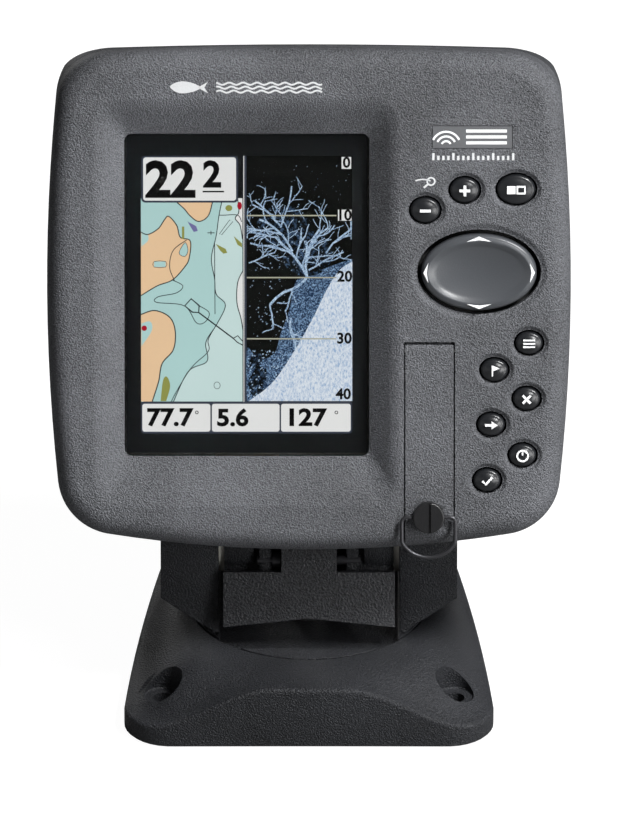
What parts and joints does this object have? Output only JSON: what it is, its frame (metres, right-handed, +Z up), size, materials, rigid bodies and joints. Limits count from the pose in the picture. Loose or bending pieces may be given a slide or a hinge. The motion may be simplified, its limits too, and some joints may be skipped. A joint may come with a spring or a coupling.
{
  "type": "fish finder",
  "caption": "Portrait fish finder with a recessed colour display, oval buttons, an oval direction pad and a card door, on a tilt and swivel quick-release mount.",
  "frame": {"origin": "on the swivel axis, level with the underside of the mounting base", "axes": "+Z up, the display faces -Y and leans back, +X to the display's right"},
  "size_m": [0.1316, 0.092, 0.1692],
  "materials": {
    "case_plastic": "finely textured charcoal plastic",
    "rear_plastic": "finely textured black plastic",
    "seal_rubber": "soft black rubber",
    "window": "clear acrylic with a dark printed border",
    "display": "lit colour display",
    "white_plastic": "white moulded plastic",
    "circuit_board": "green solder mask",
    "flex": "amber film",
    "key_rubber": "satin grey-black rubber",
    "pad_rubber": "satin dark grey rubber",
    "black_plastic": "black moulded plastic",
    "badge": "printed label",
    "door_plastic": "finely textured charcoal plastic",
    "knob_plastic": "smooth black plastic",
    "steel": "stainless steel",
    "dark_wire": "dark oxidised steel wire",
    "brass": "plain brass",
    "mount_plastic": "smooth black glass-filled plastic",
    "latch_plastic": "textured black plastic",
    "nylon": "natural nylon"
  },
  "bodies": {
    "base": {"mounting_base": "mount_plastic"},
    "yoke": {"swivel_yoke": "mount_plastic", "thrust_washer": "nylon", "swivel_bolt": "steel", "spring_washer": "steel", "swivel_nut": "steel"},
    "carrier": {"tilt_carrier": "mount_plastic", "contact_insert": "black_plastic", "connector_holder": "black_plastic", "pivot_screws": "black_plastic", "friction_washers": "nylon", "latch_pin": "steel", "latch_spring": "steel"},
    "latch": {"release_latch": "latch_plastic"},
    "rocker": {"rocker_gimbal": "nylon"},
    "pad": {"direction_pad": "pad_rubber"},
    "door": {"card_door": "door_plastic"},
    "knob": {"door_knob": "knob_plastic"},
    "ring": {"pull_ring": "dark_wire"},
    "zoom_out_button": {"zoom_out_button": "key_rubber"},
    "zoom_in_button": {"zoom_in_button": "key_rubber"},
    "view_button": {"view_button": "key_rubber"},
    "menu_button": {"menu_button": "key_rubber"},
    "mark_button": {"mark_button": "key_rubber"},
    "exit_button": {"exit_button": "key_rubber"},
    "goto_button": {"goto_button": "key_rubber"},
    "power_button": {"power_button": "key_rubber"},
    "check_button": {"check_button": "key_rubber"},
    "head": {"alarm_buzzer": "black_plastic", "board_screws": "steel", "card_door_seal": "seal_rubber", "card_socket": "black_plastic", "case_screws": "steel", "case_seal": "seal_rubber", "display_flex": "flex", "display_panel": "display", "display_tray": "white_plastic", "display_window": "window", "door_hinge_pin": "steel", "front_bezel": "case_plastic", "head_connector": "black_plastic", "key_switches": "steel", "keypad_board": "circuit_board", "keypad_membrane": "seal_rubber", "main_board": "circuit_board", "nameplate": "badge", "rear_cover": "rear_plastic"}
  },
  "joints": [
    {"name": "swivel", "type": "hinge", "parent": "base", "child": "yoke", "pos_m": [0, 0, 0.012], "axis": [0, 0, 1], "range_deg": [-90, 90]},
    {"name": "tilt", "type": "hinge", "parent": "yoke", "child": "carrier", "pos_m": [0, 0, 0.036], "axis": [1, 0, 0], "range_deg": [-25, 15]},
    {"name": "head_lift", "type": "slide", "parent": "carrier", "child": "head", "axis": [0, 0.3256, 0.9455], "range_m": [0, 0.035]},
    {"name": "latch_press", "type": "hinge", "parent": "carrier", "child": "latch", "pos_m": [0, -0.01158, 0.03491], "axis": [1, 0, 0], "range_deg": [0, 8], "stiffness_Nm_per_rad": 0.5, "springref_deg": -2.86},
    {"name": "pad_rock_up_down", "type": "hinge", "parent": "head", "child": "rocker", "pos_m": [0.0427, -0.00672, 0.11584], "axis": [1, 0, 0], "range_deg": [-2.5, 2.5], "stiffness_Nm_per_rad": 0.3},
    {"name": "pad_rock_sideways", "type": "hinge", "parent": "rocker", "child": "pad", "pos_m": [0.0427, -0.00672, 0.11584], "axis": [0, 0.3256, 0.9455], "range_deg": [-2.5, 2.5], "stiffness_Nm_per_rad": 0.3},
    {"name": "card_door_swing", "type": "hinge", "parent": "head", "child": "door", "pos_m": [0.0303, -0.01538, 0.09761], "axis": [-1, 0, 0], "range_deg": [0, 95]},
    {"name": "knob_turn", "type": "hinge", "parent": "door", "child": "knob", "pos_m": [0.0301, -0.03093, 0.05828], "axis": [0, 0.9455, -0.3256], "range_deg": [0, 90]},
    {"name": "ring_swing", "type": "hinge", "parent": "knob", "child": "ring", "pos_m": [0.0301, -0.03223, 0.05873], "axis": [-1, 0, 0], "range_deg": [0, 170]},
    {"name": "zoom_out_press", "type": "slide", "parent": "head", "child": "zoom_out_button", "axis": [0, 0.9455, -0.3256], "range_m": [0, 0.0009], "stiffness_N_per_m": 900, "springref_m": -0.0006},
    {"name": "zoom_in_press", "type": "slide", "parent": "head", "child": "zoom_in_button", "axis": [0, 0.9455, -0.3256], "range_m": [0, 0.0009], "stiffness_N_per_m": 900, "springref_m": -0.0006},
    {"name": "view_press", "type": "slide", "parent": "head", "child": "view_button", "axis": [0, 0.9455, -0.3256], "range_m": [0, 0.0009], "stiffness_N_per_m": 900, "springref_m": -0.0006},
    {"name": "menu_press", "type": "slide", "parent": "head", "child": "menu_button", "axis": [0, 0.9455, -0.3256], "range_m": [0, 0.0009], "stiffness_N_per_m": 900, "springref_m": -0.0006},
    {"name": "mark_press", "type": "slide", "parent": "head", "child": "mark_button", "axis": [0, 0.9455, -0.3256], "range_m": [0, 0.0009], "stiffness_N_per_m": 900, "springref_m": -0.0006},
    {"name": "exit_press", "type": "slide", "parent": "head", "child": "exit_button", "axis": [0, 0.9455, -0.3256], "range_m": [0, 0.0009], "stiffness_N_per_m": 900, "springref_m": -0.0006},
    {"name": "goto_press", "type": "slide", "parent": "head", "child": "goto_button", "axis": [0, 0.9455, -0.3256], "range_m": [0, 0.0009], "stiffness_N_per_m": 900, "springref_m": -0.0006},
    {"name": "power_press", "type": "slide", "parent": "head", "child": "power_button", "axis": [0, 0.9455, -0.3256], "range_m": [0, 0.0009], "stiffness_N_per_m": 900, "springref_m": -0.0006},
    {"name": "check_press", "type": "slide", "parent": "head", "child": "check_button", "axis": [0, 0.9455, -0.3256], "range_m": [0, 0.0009], "stiffness_N_per_m": 900, "springref_m": -0.0006}
  ]
}
